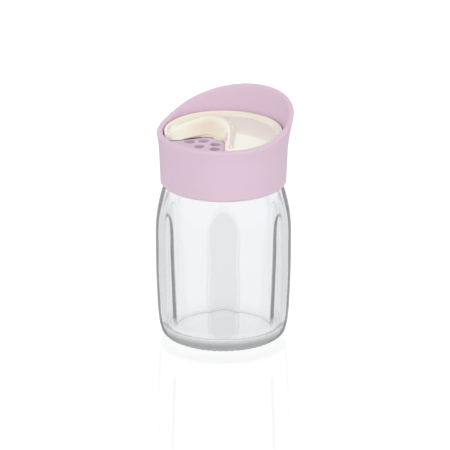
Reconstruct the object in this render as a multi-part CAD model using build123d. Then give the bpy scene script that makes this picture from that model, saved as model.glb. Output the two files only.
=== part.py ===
from build123d import *
import math
import os

# Spice shaker: glass jar, screw cap with sieve, turning selector dial and seal ring.
# Millimetres, +Z up, origin at the middle of the jar's foot, -Y towards the viewer.

# Jar outside
body_radius = 33.0
body_height = 50.0
foot_radius = 26.8
heel_radius = 3.6
heel_profile = [(31.8, 11.0), (32.35, 20.0)]
punt_radius = 24.4
punt_height = 1.8
punt_edge = 2.8
shoulder_profile = [(32.8, 58.0), (31.75, 66.0)]
shoulder_radius = 29.1
shoulder_height = 76.0
neck_radius = 27.2
neck_start = 80.5
bead_radius = 28.2
bead_height = 82.8
bead_half = 0.8
jar_top = 97.8
lip_round = 0.8

# Jar inside
mouth_radius = 24.2
wall = 3.1
floor_height = 6.0
floor_radius = 23.2
corner_radius = 29.2
corner_height = 14.0
inner_shoulder_profile = [(26.1, 75.5), (28.65, 66.0)]

# Pressed panels round the jar
panel_count = 6
first_panel = 30.0
panel_depth = 1.0
panel_half_reach = 12.0
panel_profile = [(31.4, 3.0), (30.55, 9.0), (31.35, 20.0), (31.65, 35.0),
                 (body_radius - panel_depth, body_height), (31.75, 60.0), (30.85, 66.0),
                 (30.1, 71.0), (29.4, 75.0), (28.7, 78.0)]

# Screw lugs, three starts on the neck and three in the cap
lug_starts = 3
lead = 12.0
lug_root_half = 1.1
lug_crest_half = 0.5
jar_lug_crest = 28.3
jar_lug_sweep = 100.0
jar_lug_height = 91.0
cap_lug_crest = 27.5
cap_lug_sweep = 60.0
cap_lug_offset = 20.0
lug_bite = 0.3

# Cap skirt, deck and collar
skirt_bottom = 78.4
skirt_radius = 30.65
skirt_bore = 28.6
skirt_mouth = 29.3
mouth_depth = 81.0
mouth_bevel = 1.0
edge_round = 1.2
deck_bottom = 99.0
deck_top = 101.0
collar_profile = [(31.05, 90.0), (31.55, 98.5), (32.75, 105.5), (34.15, 112.4)]
collar_inside = (31.6, 112.4)
crown_radius = 35.05
crown_height = 122.0
pocket_radius = 29.25
pocket_top = 103.4
collar_wall = 2.4

# Sweep of the collar's rim: a level lip, then a straight climb away from it
rim_low = 104.7
rim_azimuth = 52.0
rim_climb = 19.0
rim_knee = -5.5
rim_blend = 72.0
rim_round = 0.9
rim_tolerance = 0.02

# Sieve holes in the deck: rings of holes, each a radius and the angles from the sieve's middle
hole_radius = 2.7
sieve_middle = 228.0
sieve_rings = [(10.8, (-21, 21)), (17.3, (-28, 0, 28))]

# Seal between glass rim and deck
seal_space = 1.2
seal_gap = 0.03
seal_inner = 23.5
seal_outer = 28.2
seat_rib_inner = 22.2
seat_rib_outer = 23.2
seat_rib_depth = 1.8

# Selector dial
dial_radius = 28.85
dial_bottom = 101.25
dial_top = 105.0
dial_rim_width = 1.7
dial_rim_outer_drop = 0.7
dial_rim_inner_drop = 0.6
dish_floor = 102.3
dish_radius = 14.0
dial_boss_radius = 5.0
boss_gap = 0.05
post_radius = 3.0
post_gap = 0.05
post_sink = 0.5
barb_radius = 3.7
barb_gap = 0.2
barb_height = 2.2
barb_land = 0.5
barb_taper = 0.7
post_slot = 1.4

# Window cut through the dial's rim, seen from above
window_back = -5.0
window_side = 0.7
window_points = [(-22.0, window_back), (-16.0, -2.2), (-9.5, -0.6),
                 (-4.0, -1.8), (-0.6, -5.2), (window_side, -10.0)]
window_reach = 34.0
window_cut_height = 8.0

# Thumb ridge stations: x and y of the scoop's foot, heading across the ridge, distances to the
# crest and to the back foot, and heights of the scoop's foot and of the crest
ridge_stations = [
    (-0.4, -27.6, 0.0, 2.9, 4.7, 104.0, 104.8),
    (-0.4, -18.0, 0.0, 2.9, 4.8, 103.4, 105.0),
    (-0.6, -9.0, 10.0, 3.3, 5.4, 102.8, 105.2),
    (-1.0, -7.0, 35.0, 4.6, 6.9, 102.5, 105.3),
    (-1.6, -5.6, 62.0, 8.9, 11.8, 102.3, 105.4),
    (-4.0, -3.0, 75.0, 18.2, 21.6, 102.1, 105.5),
    (-6.4, -1.8, 85.0, 22.8, 25.6, 102.1, 105.4),
    (-10.0, -1.6, 93.0, 18.8, 22.3, 102.1, 105.2),
    (-15.6, -3.2, 98.0, 15.8, 19.3, 102.1, 104.8),
    (-21.0, -6.0, 98.0, 13.0, 17.0, 102.1, 104.2),
    (-26.0, -6.6, 98.0, 8.5, 11.5, 102.1, 103.2),
]
ridge_steps = 3
ridge_sink = 0.1
ridge_inset = 0.4

# How far a cutting tool runs past the face it cuts through
cut_margin = 1.0
cut_far = 10.0


def outline(edges):
    """Close a set of edges, drawn as radius and height, into a face on the XZ plane."""
    return Plane.XZ * make_face(edges)


def lathe(edges):
    """Turn an outline about the object's axis."""
    return revolve(outline(edges), Axis.Z)


def ring(inner, outer, low, high):
    """A plain ring about the axis between two heights."""
    return Pos(0, 0, low) * extrude(Circle(outer) - Circle(inner), high - low)


def rod(radius, low, high):
    """A plain cylinder about the axis between two heights."""
    return Pos(0, 0, low) * extrude(Circle(radius), high - low)


def jar_blank():
    """The jar without its panels and lugs."""
    foot_start = (punt_radius, 0)
    heel_start = (foot_radius, 0)
    heel_middle = (foot_radius + heel_radius * math.sin(math.radians(45)),
                   heel_radius * (1 - math.cos(math.radians(45))))
    heel_end = (foot_radius + heel_radius, heel_radius)
    widest = (body_radius, body_height)
    neck_low = (neck_radius, neck_start)
    lip_outer = (neck_radius, jar_top - lip_round)
    lip_inner = (mouth_radius, jar_top - lip_round)
    throat = (mouth_radius, neck_start)
    hip = (body_radius - wall, body_height)
    corner = (corner_radius, corner_height)
    floor_edge = (floor_radius, floor_height)
    punt_end = (punt_radius - punt_edge, punt_height)
    edges = [
        Line((0, punt_height), punt_end),
        Spline(punt_end, foot_start, tangents=[(1, 0), (0.3, -1)]),
        Line(foot_start, heel_start),
        ThreePointArc(heel_start, heel_middle, heel_end),
        Spline(heel_end, *heel_profile, widest, tangents=[(0, 1), (0, 1)]),
        Spline(widest, *shoulder_profile, (shoulder_radius, shoulder_height), neck_low,
               tangents=[(0, 1), (0, 1)]),
        Line(neck_low, (neck_radius, bead_height - bead_half)),
        ThreePointArc((neck_radius, bead_height - bead_half), (bead_radius, bead_height),
                      (neck_radius, bead_height + bead_half)),
        Line((neck_radius, bead_height + bead_half), lip_outer),
        Line(lip_outer, (neck_radius - lip_round, jar_top)),
        Line((neck_radius - lip_round, jar_top), (mouth_radius + lip_round, jar_top)),
        Line((mouth_radius + lip_round, jar_top), lip_inner),
        Line(lip_inner, throat),
        Spline(throat, *inner_shoulder_profile, hip, tangents=[(0, -1), (0, -1)]),
        Line(hip, corner),
        Spline(corner, floor_edge, tangents=[(0, -1), (-1, 0)]),
        Line(floor_edge, (0, floor_height)),
        Line((0, floor_height), (0, punt_height)),
    ]
    return lathe(edges)


def panel_cutter():
    """A flat-faced cutter whose depth fades to nothing at the arch's top, on the +X side."""
    far = body_radius + cut_far
    low = panel_profile[0]
    high = panel_profile[-1]
    edges = [
        Spline(*panel_profile),
        Line(high, (far, high[1])),
        Line((far, high[1]), (far, low[1])),
        Line((far, low[1]), low),
    ]
    return extrude(outline(edges), amount=panel_half_reach, both=True)


def screw_lug(start_angle, sweep_angle, height, root, crest):
    """One trapezoid rib along the lead, from a radius inside its wall to its crest."""
    path = Helix(pitch=lead, height=lead * sweep_angle / 360, radius=root)
    start = Plane(origin=path @ 0, x_dir=(1, 0, 0), z_dir=path % 0)
    bite = math.copysign(lug_bite, root - crest)
    reach = crest - root
    section = start * make_face(Polyline(
        (bite, -lug_root_half), (reach, -lug_crest_half), (reach, lug_crest_half),
        (bite, lug_root_half), close=True))
    rib = sweep(section, path=path, is_frenet=True)
    return Pos(0, 0, height) * Rot(0, 0, start_angle) * rib


def lug_set(start_angle, sweep_angle, height, root, crest):
    """The same lug at each start round the axis."""
    step = 360 / lug_starts
    return [screw_lug(start_angle + step * i, sweep_angle, height, root, crest)
            for i in range(lug_starts)]


def make_jar():
    """Pressed glass jar with arched panels and screw lugs."""
    jar = jar_blank()
    cutter = panel_cutter()
    step = 360 / panel_count
    for i in range(panel_count):
        jar -= Rot(0, 0, first_panel + step * i) * cutter
    for lug in lug_set(0, jar_lug_sweep, jar_lug_height, neck_radius, jar_lug_crest):
        jar += lug
    return jar


def collar_shell():
    """Skirt, deck and flared collar before the rim is cut to its sweep."""
    outer_low = (skirt_radius, skirt_bottom + edge_round)
    outer_foot = (skirt_radius - edge_round, skirt_bottom)
    outer_mid = (skirt_radius - edge_round * (1 - math.sin(math.radians(45))),
                 skirt_bottom + edge_round * (1 - math.cos(math.radians(45))))
    crown = (crown_radius, crown_height)
    crown_in = (crown_radius - collar_wall, crown_height)
    edges = [
        ThreePointArc(outer_foot, outer_mid, outer_low),
        Spline(outer_low, *collar_profile, crown, tangents=[(0, 1), (0.1, 1)]),
        Line(crown, crown_in),
        Spline(crown_in, collar_inside, (pocket_radius, pocket_top), tangents=[(-0.1, -1), (-0.15, -1)]),
        Line((pocket_radius, pocket_top), (pocket_radius, deck_top)),
        Line((pocket_radius, deck_top), (0, deck_top)),
        Line((0, deck_top), (0, deck_bottom)),
        Line((0, deck_bottom), (skirt_bore, deck_bottom)),
        Line((skirt_bore, deck_bottom), (skirt_bore, mouth_depth)),
        Line((skirt_bore, mouth_depth), (skirt_mouth, mouth_depth - mouth_bevel)),
        Line((skirt_mouth, mouth_depth - mouth_bevel), (skirt_mouth, skirt_bottom)),
        Line((skirt_mouth, skirt_bottom), outer_foot),
    ]
    return lathe(edges)


def rim_cutter():
    """Everything above the rim's sweep, drawn from the side and carried across the cap."""
    far = crown_radius + cut_far
    climb = math.tan(math.radians(rim_climb))
    top = rim_low + (far - rim_knee) * climb
    lid = top + cut_far
    tangent = rim_blend * math.tan(math.radians(rim_climb / 2))
    lip_end = (rim_knee - tangent, rim_low)
    climb_start = (rim_knee + tangent * math.cos(math.radians(rim_climb)),
                   rim_low + tangent * math.sin(math.radians(rim_climb)))
    edges = [
        Line((-far, rim_low), lip_end),
        TangentArc(lip_end, climb_start, tangent=(1, 0)),
        Line(climb_start, (far, top)),
        Line((far, top), (far, lid)),
        Line((far, lid), (-far, lid)),
        Line((-far, lid), (-far, rim_low)),
    ]
    return Rot(0, 0, rim_azimuth) * extrude(outline(edges), amount=far, both=True)


def rim_height(x, y):
    """Height of the rim's sweep at a place seen from above."""
    azimuth = math.radians(rim_azimuth)
    along = x * math.cos(azimuth) + y * math.sin(azimuth)
    climb = math.radians(rim_climb)
    tangent = rim_blend * math.tan(climb / 2)
    if along < rim_knee - tangent:
        return rim_low
    if along > rim_knee + tangent * math.cos(climb):
        return rim_low + (along - rim_knee) * math.tan(climb)
    run = along - rim_knee + tangent
    return rim_low + rim_blend - math.sqrt(rim_blend ** 2 - run ** 2)


def runs_along_rim(edge):
    """True for the rim's long edges, and false for the short ones across the wall."""
    ends = [edge @ 0, edge @ 0.5, edge @ 1]
    on_rim = all(abs(p.Z - rim_height(p.X, p.Y)) < rim_tolerance for p in ends)
    return on_rim and edge.length > 3 * collar_wall


def sieve_places():
    """Centres of the sieve's holes, spread about its middle behind the pouring lip."""
    places = [(radius, math.radians(sieve_middle + turn)) for radius, turns in sieve_rings for turn in turns]
    return [(radius * math.cos(angle), radius * math.sin(angle)) for radius, angle in places]


def make_cap():
    """Screw cap: skirt, sieve deck and swept collar in one moulding."""
    cap = collar_shell() - rim_cutter()
    cap = fillet(cap.edges().filter_by(runs_along_rim), rim_round)
    cap += ring(seat_rib_inner, seat_rib_outer, deck_bottom - seat_rib_depth, deck_bottom)
    for x, y in sieve_places():
        cap -= Pos(x, y, 0) * rod(hole_radius, deck_bottom - cut_margin, deck_top + cut_margin)
    cap -= rod(post_radius + post_gap, deck_bottom - cut_margin, deck_top + cut_margin)
    cap_lug_height = jar_lug_height + lead * cap_lug_offset / 360 - lead / lug_starts / 2
    for lug in lug_set(cap_lug_offset, cap_lug_sweep, cap_lug_height, skirt_bore, cap_lug_crest):
        cap += lug
    return cap


def make_seal():
    """Flat seal between the glass rim and the deck."""
    return ring(seal_inner, seal_outer, deck_bottom - seal_space + seal_gap, deck_bottom - seal_gap)


def dial_dish():
    """Round dial with a raised rim and a dished top."""
    rim_outer = (dial_radius, dial_top - dial_rim_outer_drop)
    rim_crest = (dial_radius - dial_rim_width / 2, dial_top)
    rim_inner = (dial_radius - dial_rim_width, dial_top - dial_rim_inner_drop)
    edges = [
        Line((0, dial_bottom), (dial_radius, dial_bottom)),
        Line((dial_radius, dial_bottom), rim_outer),
        ThreePointArc(rim_outer, rim_crest, rim_inner),
        Spline(rim_inner, (dish_radius, dish_floor), tangents=[(-0.6, -1), (-1, 0)]),
        Line((dish_radius, dish_floor), (0, dish_floor)),
        Line((0, dish_floor), (0, dial_bottom)),
    ]
    return lathe(edges)


def smooth_step(before, start, end, after, t):
    """A value between start and end on the Catmull-Rom curve through four values."""
    square = (2 * before - 5 * start + 4 * end - after) * t ** 2
    cube = (3 * start - before - 3 * end + after) * t ** 3
    return start + ((end - before) * t + square + cube) / 2


def blended_stations():
    """The ridge's stations with smooth steps between each pair."""
    last = len(ridge_stations) - 1
    blended = [ridge_stations[0]]
    for i in range(last):
        before = ridge_stations[max(i - 1, 0)]
        start = ridge_stations[i]
        end = ridge_stations[i + 1]
        after = ridge_stations[min(i + 2, last)]
        for step in range(1, ridge_steps + 1):
            t = step / ridge_steps
            blended.append(tuple(smooth_step(*four, t) for four in zip(before, start, end, after)))
    return blended


def ridge_section(station):
    """Upright section of the thumb ridge at one station."""
    x, y, heading, crest_run, back_run, foot_z, crest_z = station
    base = (dial_bottom + dish_floor) / 2
    across = Vector(1, 0, 0).rotate(Axis.Z, heading)
    side = Plane(origin=(x, y, 0), x_dir=across, z_dir=across.cross(Vector(0, 0, 1)))
    back_z = dish_floor - ridge_sink
    corners = [(0, base), (0, foot_z), (crest_run, crest_z), (back_run, back_z), (back_run, base)]
    return side * make_face(Polyline(*corners, close=True))


def window_cutter():
    """The window's plan, taken through the dial."""
    edges = [
        Line((-window_reach, window_back), window_points[0]),
        Spline(*window_points, tangents=[(1, 0), (0, -1)]),
        Line(window_points[-1], (window_side, -window_reach)),
        Line((window_side, -window_reach), (-window_reach, -window_reach)),
        Line((-window_reach, -window_reach), (-window_reach, window_back)),
    ]
    return Pos(0, 0, dial_bottom - cut_margin) * extrude(make_face(edges), window_cut_height)


def snap_post():
    """Split post that pushes through the deck and hooks under it."""
    root = dial_bottom + post_sink
    barb_top = deck_bottom - barb_gap
    barb_low = barb_top - barb_land
    tip = barb_top - barb_height
    tip_radius = post_radius - barb_taper
    edges = [
        Line((0, root), (post_radius, root)),
        Line((post_radius, root), (post_radius, barb_top)),
        Line((post_radius, barb_top), (barb_radius, barb_top)),
        Line((barb_radius, barb_top), (barb_radius, barb_low)),
        Line((barb_radius, barb_low), (tip_radius, tip)),
        Line((tip_radius, tip), (0, tip)),
        Line((0, tip), (0, root)),
    ]
    slot = Pos(0, 0, tip + (deck_top - tip) / 2) * Box(post_slot, 3 * post_radius, deck_top - tip)
    return lathe(edges) - slot


def make_dial():
    """Cream dial: dish, thumb ridge, window and snap post in one moulding."""
    dial = dial_dish()
    ridge = loft([ridge_section(s) for s in blended_stations()], ruled=True)
    dial += ridge & rod(dial_radius - ridge_inset, dial_bottom, dial_top + cut_margin)
    dial -= window_cutter()
    dial += ring(post_radius, dial_boss_radius, deck_top + boss_gap, dial_bottom + post_sink)
    dial += snap_post()
    return dial


def main():
    """Write one STEP file for each piece."""
    os.makedirs("parts", exist_ok=True)
    pieces = {
        "glass_jar": make_jar(),
        "sieve_cap": make_cap(),
        "selector_dial": make_dial(),
        "seal_ring": make_seal(),
    }
    for name, shape in pieces.items():
        shape.label = name
        export_step(shape, f"parts/{name}.step")
        print(name, len(shape.solids()), round(shape.volume, 1))


main()
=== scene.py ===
"""A glass spice shaker with a sieve cap and a turning dial, dressed for rendering."""

import math

import bmesh
import bpy
import numpy as np
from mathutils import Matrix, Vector


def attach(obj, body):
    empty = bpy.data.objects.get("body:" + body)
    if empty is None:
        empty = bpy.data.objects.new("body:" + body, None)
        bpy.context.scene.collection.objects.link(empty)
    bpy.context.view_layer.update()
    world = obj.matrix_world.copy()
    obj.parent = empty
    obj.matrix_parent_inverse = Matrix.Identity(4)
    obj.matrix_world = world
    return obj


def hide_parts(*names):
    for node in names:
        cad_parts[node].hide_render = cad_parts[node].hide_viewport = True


bl_info = {
    "name": "Spice Shaker",
    "version": (1, 0, 0),
    "blender": (4, 5, 0),
    "location": "View3D > Sidebar > Shaker",
    "description": "Builds a pressed glass spice shaker, its sieve cap, dial and seal, and a small studio",
    "category": "Object",
}

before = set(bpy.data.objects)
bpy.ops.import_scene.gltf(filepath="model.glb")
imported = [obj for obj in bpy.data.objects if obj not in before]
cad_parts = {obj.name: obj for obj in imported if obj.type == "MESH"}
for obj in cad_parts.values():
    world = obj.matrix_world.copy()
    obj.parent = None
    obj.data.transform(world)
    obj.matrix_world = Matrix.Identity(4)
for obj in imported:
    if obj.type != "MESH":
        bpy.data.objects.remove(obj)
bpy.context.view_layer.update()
MM = 0.001

# Jar, in millimetres: an outline is radius and height
FOOT_RING = [(26.3, 0.0), (27.8, 0.4), (29.2, 1.2), (30.1, 2.3), (30.65, 3.8)]
SIDE = [(30.65, 3.8), (31.8, 11.0), (32.35, 20.0), (33.0, 50.0)]
SHOULDER = [(33.0, 50.0), (32.8, 58.0), (31.75, 66.0), (29.1, 76.0), (27.2, 80.5)]
INSIDE_SHOULDER = [(24.2, 80.5), (26.1, 75.5), (28.65, 66.0), (29.9, 50.0)]
INSIDE_WALL = [(29.75, 38.0), (29.5, 26.0)]
INSIDE_CORNER = [(29.45, 12.0), (29.3, 9.0), (28.75, 7.1), (27.6, 6.0), (25.8, 5.6)]
INSIDE_FLOOR = (15.0, 5.6)
PUNT = [(0.0, 0.7), (12.0, 0.7), (21.6, 0.7), (23.0, 0.6), (24.0, 0.35), (24.8, 0.0)]
BEARING_RING = (25.6, 0.0)
BEAD_HEIGHT = 82.8
BEAD_ROUND = 1.1
NECK_RADIUS = 27.2
NECK_HEIGHTS = (85.0, 96.6)
JAR_TOP = 97.8
LIP_ROUND = 0.8
MOUTH_RADIUS = 24.2
MOUTH_FOOT = 90.0
# Flats: their distance from the axis, and height
FLAT_REACH = [(30.9, 3.0), (31.0, 5.0), (31.05, 7.5), (31.08, 10.0), (31.2, 13.0), (31.54, 20.0),
              (31.95, 35.0), (32.2, 50.0), (31.9, 58.0), (30.9, 66.0), (30.2, 71.0), (29.45, 75.0),
              (28.7, 78.0)]
FIRST_FLAT = 30.0
# Dimples round the foot: radius of their band's middle, half the band's width, height of its top, and depth
DIMPLES = (27.6, 2.2, 2.0, 0.25)
# Screw lugs: how many, rise in a full turn, half heights at root and crest, and how fast their ends fade
LUGS = 3
LEAD = 12.0
LUG_ROOT = 1.1
LUG_CREST = 0.5
LUG_FADE = 8
# Height of a lug's start, degrees of its sweep, and radius at its root and crest
JAR_LUG = (91.0, 100.0, 27.2, 28.3)
CAP_LUG = (89.667, 60.0, 28.6, 27.5)
CAP_LUG_START = 20.0

# Painted shade, a dark line along a flat: height, and degrees from the flat's middle; heights between which
# it shows
FLANK = [(10.0, 13.2), (24.8, 13.0), (40.4, 12.1), (55.8, 11.0), (60.8, 9.3), (64.5, 6.2), (66.5, 2.5),
         (67.5, 0.0)]
FLANK_HEIGHTS = [9.0, 16.0, 66.5, 68.0]
# Degrees that the line reaches to either side, and over which it fades there
FLANK_INSIDE = (4.4, 1.3)
FLANK_OUTSIDE = (3.2, 2.0)
# Painted shade at the top of a flat's arch: heights, degrees that it reaches, and over which it fades
ARCH_HEIGHTS = [66.5, 69.0, 78.0, 79.5]
ARCH_REACH = (12.5, 3.5)
# Painted shade on the heel: height, and share of the full darkness
HEEL_SHADE = [(0.5, 0.5), (1.5, 0.66), (2.8, 0.82), (4.4, 0.86), (5.4, 0.6), (6.6, 0.36), (8.0, 0.16),
              (9.0, 0.0)]
# How dark each mark of painted shade is at its most, and the turns away from the viewer between which each,
# and the painted dark outline, come out
PAINTED_SHADE = {"flank": 0.97, "shoulder": 0.7, "outside": 0.08, "flat_edge": 0.24, "flat_face": 0.23,
            "heel": 1.0}
OUTLINE_TURN = (0.6, 0.71)
WALL_TURN = (0.21, 0.26)
FLANK_TURN = (0.2, 0.3)
FLANK_TURN_END = (0.56, 0.64)
SHOULDER_TURN = (0.45, 0.55)
# Heights between which the painted shade on a flat's edge fades to half
EDGE_HEIGHTS = (50.0, 64.0)
# Light that has met more surfaces than this passes straight through the wall
TRAPPED = 3.5

# Cap, in millimetres
SKIRT_BOTTOM = 78.4
# Radius of the middle of the skirt's rounded foot, and its rounding
SKIRT_FOOT = (29.45, 1.2)
COLLAR_OUTSIDE = [(30.65, 79.6), (31.05, 90.0), (31.55, 98.5), (32.7, 105.5), (34.1, 112.4), (35.0, 122.0)]
COLLAR_INSIDE = [(29.25, 103.4), (31.6, 112.4), (32.7, 122.0)]
COLLAR_FOOT = 103.0
DECK = (99.0, 101.0)
UNDER_DECK = [(10.0, 99.0), (22.0, 99.0), (22.2, 98.8), (22.2, 97.4), (22.4, 97.2), (23.0, 97.2),
              (23.2, 97.4), (23.2, 98.8), (23.4, 99.0), (28.2, 99.0), (28.6, 98.6), (28.6, 90.0),
              (28.6, 81.0), (29.3, 80.0), (29.3, SKIRT_BOTTOM + 0.2), (29.45, SKIRT_BOTTOM)]
OVER_DECK = [(29.25, 101.3), (29.0, 101.05), (28.6, 101.0), (10.0, 101.0)]
# Rim of the collar: height where it is level, the way it climbs and how steeply, and where and how it bends
RIM_LOW = 104.58
RIM_AZIMUTH = 52.0
RIM_CLIMB = 19.0
RIM_KNEE = -5.5
RIM_BLEND = 72.0
RIM_ROUND = 0.9
# Sieve: the holes' middle direction in degrees; each ring's radius, holes and degrees between them; a hole
SIEVE_MIDDLE = 228.0
SIEVE_RINGS = {"inner": (10.8, 2, 42.0), "outer": (17.3, 3, 28.0)}
HOLE_RADIUS = 2.6
HOLE_LIP = 0.3

# Seal, in millimetres
SEAL_RADII = (23.7, 28.0)
SEAL_HEIGHTS = (98.0, 98.8)
SEAL_ROUND = 0.17

# Dial, in millimetres
DIAL_RADIUS = 28.75
DIAL_BOTTOM = 101.25
DIAL_LINE = [(28.75, 104.2), (28.5, 104.75), (28.0, 105.0), (27.4, 104.85), (26.9, 104.3), (26.4, 103.6),
             (25.7, 102.85), (24.9, 102.45), (23.5, 102.35), (20.0, 102.38), (15.0, 102.45), (8.0, 102.53),
             (0.0, 102.55)]
# Tilt of the dish: its slope, how far in front of the axis it keeps its height, and where it fades at the rim
DISH_TILT = 0.042
DISH_LEVEL = 3.0
DISH_FADE = (26.4, 3.4)
# Plan: points round the rim, the window's edge, and the point that the rings of the top run in to
RIM_POINTS = 230
WINDOW = [(-22.0, -5.0), (-16.0, -2.2), (-9.5, -0.6), (-4.0, -1.8), (-0.6, -5.2), (0.7, -10.0)]
FAN_CENTRE = (12.0, 8.0)
FAN_HEIGHT = 102.4
# Distances of the first rings from the dial's edge
EDGE_RINGS = [0, 0.12, 0.25, 0.4, 0.6, 0.85, 1.1, 1.4, 1.7, 2.05, 2.4]
# Crest of the thumb ridge: x, y, height, height of the scoop's foot inside it, width of the fall behind it
CREST = [
    (2.2, -28.3, 104.5, 104.4, 3.0), (2.2, -18.0, 104.1, 103.9, 3.4), (2.3, -9.0, 104.4, 103.2, 3.6),
    (2.6, -4.0, 104.8, 102.3, 3.6), (2.7, 2.5, 105.2, 102.0, 3.6), (2.1, 8.5, 105.4, 101.8, 3.6),
    (0.9, 14.5, 105.5, 101.75, 3.4), (-1.4, 18.8, 105.5, 101.75, 3.4), (-4.8, 20.8, 105.5, 101.75, 3.4),
    (-8.8, 19.4, 105.3, 101.75, 3.5), (-12.6, 16.6, 104.8, 101.75, 4.2), (-17.8, 12.4, 104.2, 101.75, 6.0),
    (-22.8, 6.9, 103.6, 101.75, 5.8), (-26.2, 2.6, 103.2, 101.75, 4.2), (-28.4, -0.6, 102.9, 101.75, 3.4),
]
# Scoop: how hollow it is, how softly it meets the dish, and the radius within which it may lie below that
SCOOP_BOW = 1.4
SCOOP_BLEND = 0.35
SCOOP_REACH = 26.0
# Painted pink reflection and shade on the scoop: x of its middle, its width, its least share and its fade up
# the scoop
SCOOP_PAINTED_SHADE = (-8.0, 8.5, 0.28, 0.3)
# Painted pink reflection and shade along the back of the rim: its share, where it starts, and over how much
# of the depth it grows
RIM_PAINTED_SHADE = (0.45, 25.5, 15)
# Under the dial: the boss and the split post that snaps through the deck
BOSS_RADIUS = 5.0
BOSS_HEIGHTS = (101.05, 101.4)
POST = [(2.3, 96.6), (3.7, 98.3), (3.7, 98.8), (3.0, 98.8), (3.0, 101.0)]
POST_SLIT = 0.7

# Studio, in metres: place, size and power of each lamp
LAMPS = {"key_lamp": ((-1.1, -1.5, 0.9), 1.2, 10.5), "fill_lamp": ((1.5, -1.0, 0.6), 1.0, 7.5),
         "back_lamp": ((0.3, 1.5, 1.0), 1.2, 4.0)}
LAMP_TARGET = (0, 0, 0.06)
FLOOR_HALF = 6.0
FLOOR_HEIGHT = -0.0002
# The floor's glow: what it has more for the camera, and less where the dial, cap or glass mirrors it
CAMERA_GLOW = 0.18
MIRROR_LOSS = 0.5
CAMERA_TARGET = (0.00077, 0, 0.0556)
CAMERA_DISTANCE = 3.0
CAMERA_CLIMB = 20.4
CAMERA_LENS = 492.4


# Lines and meshes

def smooth_line(points, count, start=None, end=None):
    """Points along a smooth line through the given ones, with its end directions if they are known."""
    p = np.array(points, float)
    t = np.concatenate([[0], np.cumsum(np.linalg.norm(np.diff(p, axis=0), axis=1))])
    slope = np.gradient(p, t, axis=0)
    if start is not None:
        slope[0] = np.array(start) / np.linalg.norm(start)
    if end is not None:
        slope[-1] = np.array(end) / np.linalg.norm(end)
    s = np.linspace(0, t[-1], count)
    i = np.clip(np.searchsorted(t, s, side="right") - 1, 0, len(t) - 2)
    span = (t[i + 1] - t[i])[:, None]
    u = (s - t[i])[:, None] / span
    return ((2 * u**3 - 3 * u**2 + 1) * p[i] + (u**3 - 2 * u**2 + u) * span * slope[i]
            + (3 * u**2 - 2 * u**3) * p[i + 1] + (u**3 - u**2) * span * slope[i + 1])


def joined(*lines):
    """One line from several that follow each other, without repeated points."""
    line = np.concatenate([np.array(part, float) for part in lines])
    keep = np.concatenate([[True], np.linalg.norm(np.diff(line, axis=0), axis=1) > 1e-4])
    return line[keep]


def arc(centre, radius, first, last, count):
    """Points on an arc, angles in degrees."""
    a = np.radians(np.linspace(first, last, count))
    return np.stack([centre[0] + radius * np.cos(a), centre[1] + radius * np.sin(a)], axis=1)


def smooth_max(a, b, softness):
    """The larger of two values, with a soft change from one to the other."""
    h = np.maximum(softness - np.abs(a - b), 0) / softness
    return np.maximum(a, b) + h * h * softness / 4


def ring_faces(rows, columns):
    """Quads between rings that close on themselves."""
    i = np.arange(rows - 1)[:, None] * columns
    j = np.arange(columns)[None, :]
    k = (j + 1) % columns
    quads = np.stack(np.broadcast_arrays(i + j, i + k, i + columns + k, i + columns + j), axis=-1)
    return quads.reshape(-1, 4).tolist()


def closing_faces(rows, columns):
    """Quads from the last ring back to the first, for a loop such as a seal."""
    j = np.arange(columns)
    k = (j + 1) % columns
    last = (rows - 1) * columns
    return np.stack([last + j, last + k, k, j], axis=-1).tolist()


def fan_faces(ring_start, columns, pole, flip):
    """Triangles from a ring to one point."""
    faces = [(ring_start + j, ring_start + (j + 1) % columns, pole) for j in range(columns)]
    return [face[::-1] for face in faces] if flip else faces


def link(name, data):
    """A new object for a mesh, lamp or camera, in the scene."""
    thing = bpy.data.objects.new(name, data)
    bpy.context.scene.collection.objects.link(thing)
    return thing


def skin(name, rings, low_pole=None, high_pole=None):
    """A closed mesh through rings of points, with a point at each open end, in metres."""
    rows, columns = rings.shape[:2]
    points = (rings.reshape(-1, 3) * MM).tolist()
    faces = ring_faces(rows, columns)
    if low_pole is not None:
        points.append([c * MM for c in low_pole])
        faces += fan_faces(0, columns, len(points) - 1, True)
    if high_pole is not None:
        points.append([c * MM for c in high_pole])
        faces += fan_faces((rows - 1) * columns, columns, len(points) - 1, False)
    if low_pole is None and high_pole is None:
        faces += closing_faces(rows, columns)
    mesh = bpy.data.meshes.new(name)
    mesh.from_pydata(points, [], faces)
    face_outwards(mesh)
    smooth(mesh)
    return link(name, mesh)


def face_outwards(mesh):
    """Turns every face of a closed mesh outwards."""
    bm = bmesh.new()
    bm.from_mesh(mesh)
    bmesh.ops.recalc_face_normals(bm, faces=bm.faces)
    bm.to_mesh(mesh)
    bm.free()


def smooth(mesh, sharp=40):
    """Smooth shading, with edges sharper than an angle kept crisp."""
    mesh.shade_smooth()
    mesh.set_sharp_from_angle(angle=math.radians(sharp))


def turned(line, columns):
    """Rings of points from a line of radius and height."""
    angle = np.arange(columns) / columns * 2 * math.pi
    line = np.array(line, float)
    return np.stack([line[:, :1] * np.cos(angle), line[:, :1] * np.sin(angle),
                     np.broadcast_to(line[:, 1:], (len(line), columns))], axis=-1)


def merged(name, things):
    """One object from several, which are removed."""
    bm = bmesh.new()
    for thing in things:
        bm.from_mesh(thing.data)
    mesh = bpy.data.meshes.new(name)
    bm.to_mesh(mesh)
    bm.free()
    for thing in things:
        bpy.data.objects.remove(thing)
    return link(name, mesh)


def mark(mesh, name, values):
    """Stores one value for each point of a mesh, for materials and geometry trees to read."""
    mesh.attributes.new(name, "FLOAT", "POINT").data.foreach_set("value", values.astype(np.float32))


def finish_piece(thing, body, nodes, material):
    """Gives a finished mesh its material and its place on the frame."""
    thing.data.materials.clear()
    thing.data.materials.append(material)
    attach(thing, body)
    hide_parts(*nodes)


# Node trees

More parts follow.
